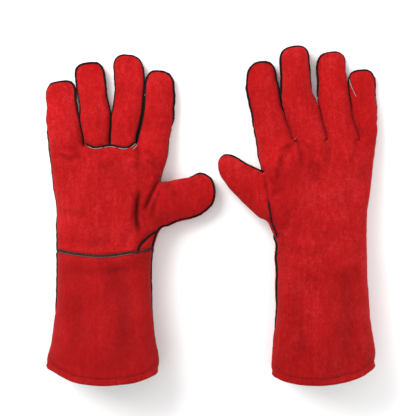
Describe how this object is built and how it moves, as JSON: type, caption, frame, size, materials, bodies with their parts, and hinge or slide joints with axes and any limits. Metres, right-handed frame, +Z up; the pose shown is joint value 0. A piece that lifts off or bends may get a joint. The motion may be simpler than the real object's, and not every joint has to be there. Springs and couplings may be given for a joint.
{
  "type": "welding gloves",
  "caption": "Pair of long red split-leather welding gloves with black welted seams, cotton lining and flared cuffs, lying side by side.",
  "frame": {"origin": "on the table, under the middle of the pair", "axes": "+X across the pair from the palm-up glove to the palm-down one, +Y from the cuffs to the fingertips, +Z up from the table"},
  "size_m": [0.3566, 0.3593, 0.0834],
  "materials": {
    "leather": "matt suede",
    "welt": "matt",
    "lining": "matt brushed cotton"
  },
  "bodies": {
    "palm_up_hand": {"palm_up_palm": "leather", "palm_up_hand_back": "leather", "palm_up_hand_lining": "lining", "palm_up_hand_welt": "welt"},
    "palm_up_cuff": {"palm_up_cuff_front": "leather", "palm_up_cuff_back": "leather", "palm_up_cuff_lining": "lining", "palm_up_cuff_side_welt": "welt", "palm_up_cuff_binding": "leather", "palm_up_wrist_welt": "welt"},
    "palm_up_thumb": {"palm_up_thumb_front": "leather", "palm_up_thumb_back": "leather", "palm_up_thumb_lining": "lining", "palm_up_thumb_welt": "welt"},
    "palm_up_index": {"palm_up_index_front": "leather", "palm_up_index_back": "leather", "palm_up_index_lining": "lining", "palm_up_index_welt": "welt"},
    "palm_up_middle": {"palm_up_middle_front": "leather", "palm_up_middle_back": "leather", "palm_up_middle_lining": "lining", "palm_up_middle_welt": "welt"},
    "palm_up_ring": {"palm_up_ring_front": "leather", "palm_up_ring_back": "leather", "palm_up_ring_lining": "lining", "palm_up_ring_welt": "welt"},
    "palm_up_little": {"palm_up_little_front": "leather", "palm_up_little_back": "leather", "palm_up_little_lining": "lining", "palm_up_little_welt": "welt"},
    "palm_down_hand": {"palm_down_palm": "leather", "palm_down_hand_back": "leather", "palm_down_hand_lining": "lining", "palm_down_hand_welt": "welt"},
    "palm_down_cuff": {"palm_down_cuff_front": "leather", "palm_down_cuff_back": "leather", "palm_down_cuff_lining": "lining", "palm_down_cuff_side_welt": "welt", "palm_down_cuff_binding": "leather", "palm_down_wrist_welt": "welt"},
    "palm_down_thumb": {"palm_down_thumb_front": "leather", "palm_down_thumb_back": "leather", "palm_down_thumb_lining": "lining", "palm_down_thumb_welt": "welt"},
    "palm_down_index": {"palm_down_index_front": "leather", "palm_down_index_back": "leather", "palm_down_index_lining": "lining", "palm_down_index_welt": "welt"},
    "palm_down_middle": {"palm_down_middle_front": "leather", "palm_down_middle_back": "leather", "palm_down_middle_lining": "lining", "palm_down_middle_welt": "welt"},
    "palm_down_ring": {"palm_down_ring_front": "leather", "palm_down_ring_back": "leather", "palm_down_ring_lining": "lining", "palm_down_ring_welt": "welt"},
    "palm_down_little": {"palm_down_little_front": "leather", "palm_down_little_back": "leather", "palm_down_little_lining": "lining", "palm_down_little_welt": "welt"}
  },
  "joints": [
    {"name": "palm_up_wrist_bend", "type": "hinge", "parent": "palm_up_hand", "child": "palm_up_cuff", "pos_m": [-0.1165, -0.0425, 0.029], "axis": [1, 0, 0], "range_deg": [-25, 25]},
    {"name": "palm_up_little_bend", "type": "hinge", "parent": "palm_up_hand", "child": "palm_up_little", "pos_m": [-0.1581, 0.0785, 0.01755], "axis": [0.9955, 0.0947, 0], "range_deg": [-10, 60]},
    {"name": "palm_up_ring_bend", "type": "hinge", "parent": "palm_up_hand", "child": "palm_up_ring", "pos_m": [-0.1243, 0.0785, 0.01755], "axis": [0.9914, 0.1306, 0], "range_deg": [-10, 60]},
    {"name": "palm_up_middle_bend", "type": "hinge", "parent": "palm_up_hand", "child": "palm_up_middle", "pos_m": [-0.0981, 0.0785, 0.01755], "axis": [0.9976, -0.0698, 0], "range_deg": [-10, 60]},
    {"name": "palm_up_index_bend", "type": "hinge", "parent": "palm_up_hand", "child": "palm_up_index", "pos_m": [-0.0655, 0.0785, 0.01755], "axis": [0.9943, -0.1062, 0], "range_deg": [-10, 60]},
    {"name": "palm_up_thumb_bend", "type": "hinge", "parent": "palm_up_hand", "child": "palm_up_thumb", "pos_m": [-0.0422, 0.0065, 0.0221], "axis": [0.3698, -0.9291, 0], "range_deg": [-10, 50]},
    {"name": "palm_down_wrist_bend", "type": "hinge", "parent": "palm_down_hand", "child": "palm_down_cuff", "pos_m": [0.1165, -0.0425, 0.029], "axis": [1, 0, 0], "range_deg": [-25, 25]},
    {"name": "palm_down_little_bend", "type": "hinge", "parent": "palm_down_hand", "child": "palm_down_little", "pos_m": [0.1679, 0.0785, 0.00945], "axis": [-0.9984, -0.0567, 0], "range_deg": [-10, 60]},
    {"name": "palm_down_ring_bend", "type": "hinge", "parent": "palm_down_hand", "child": "palm_down_ring", "pos_m": [0.1396, 0.0785, 0.00945], "axis": [-0.9936, -0.1132, 0], "range_deg": [-10, 60]},
    {"name": "palm_down_middle_bend", "type": "hinge", "parent": "palm_down_hand", "child": "palm_down_middle", "pos_m": [0.1047, 0.0785, 0.00945], "axis": [-0.9875, -0.1576, 0], "range_deg": [-10, 60]},
    {"name": "palm_down_index_bend", "type": "hinge", "parent": "palm_down_hand", "child": "palm_down_index", "pos_m": [0.0665, 0.0785, 0.00945], "axis": [-0.9902, -0.1396, 0], "range_deg": [-10, 60]},
    {"name": "palm_down_thumb_bend", "type": "hinge", "parent": "palm_down_hand", "child": "palm_down_thumb", "pos_m": [0.0415, 0.0247, 0.0119], "axis": [-0.6401, -0.7683, 0], "range_deg": [-10, 50]},
    {"name": "palm_down_lift_off", "type": "slide", "parent": "palm_up_hand", "child": "palm_down_hand", "axis": [0, 0, 1], "range_m": [0, 0.3]}
  ]
}
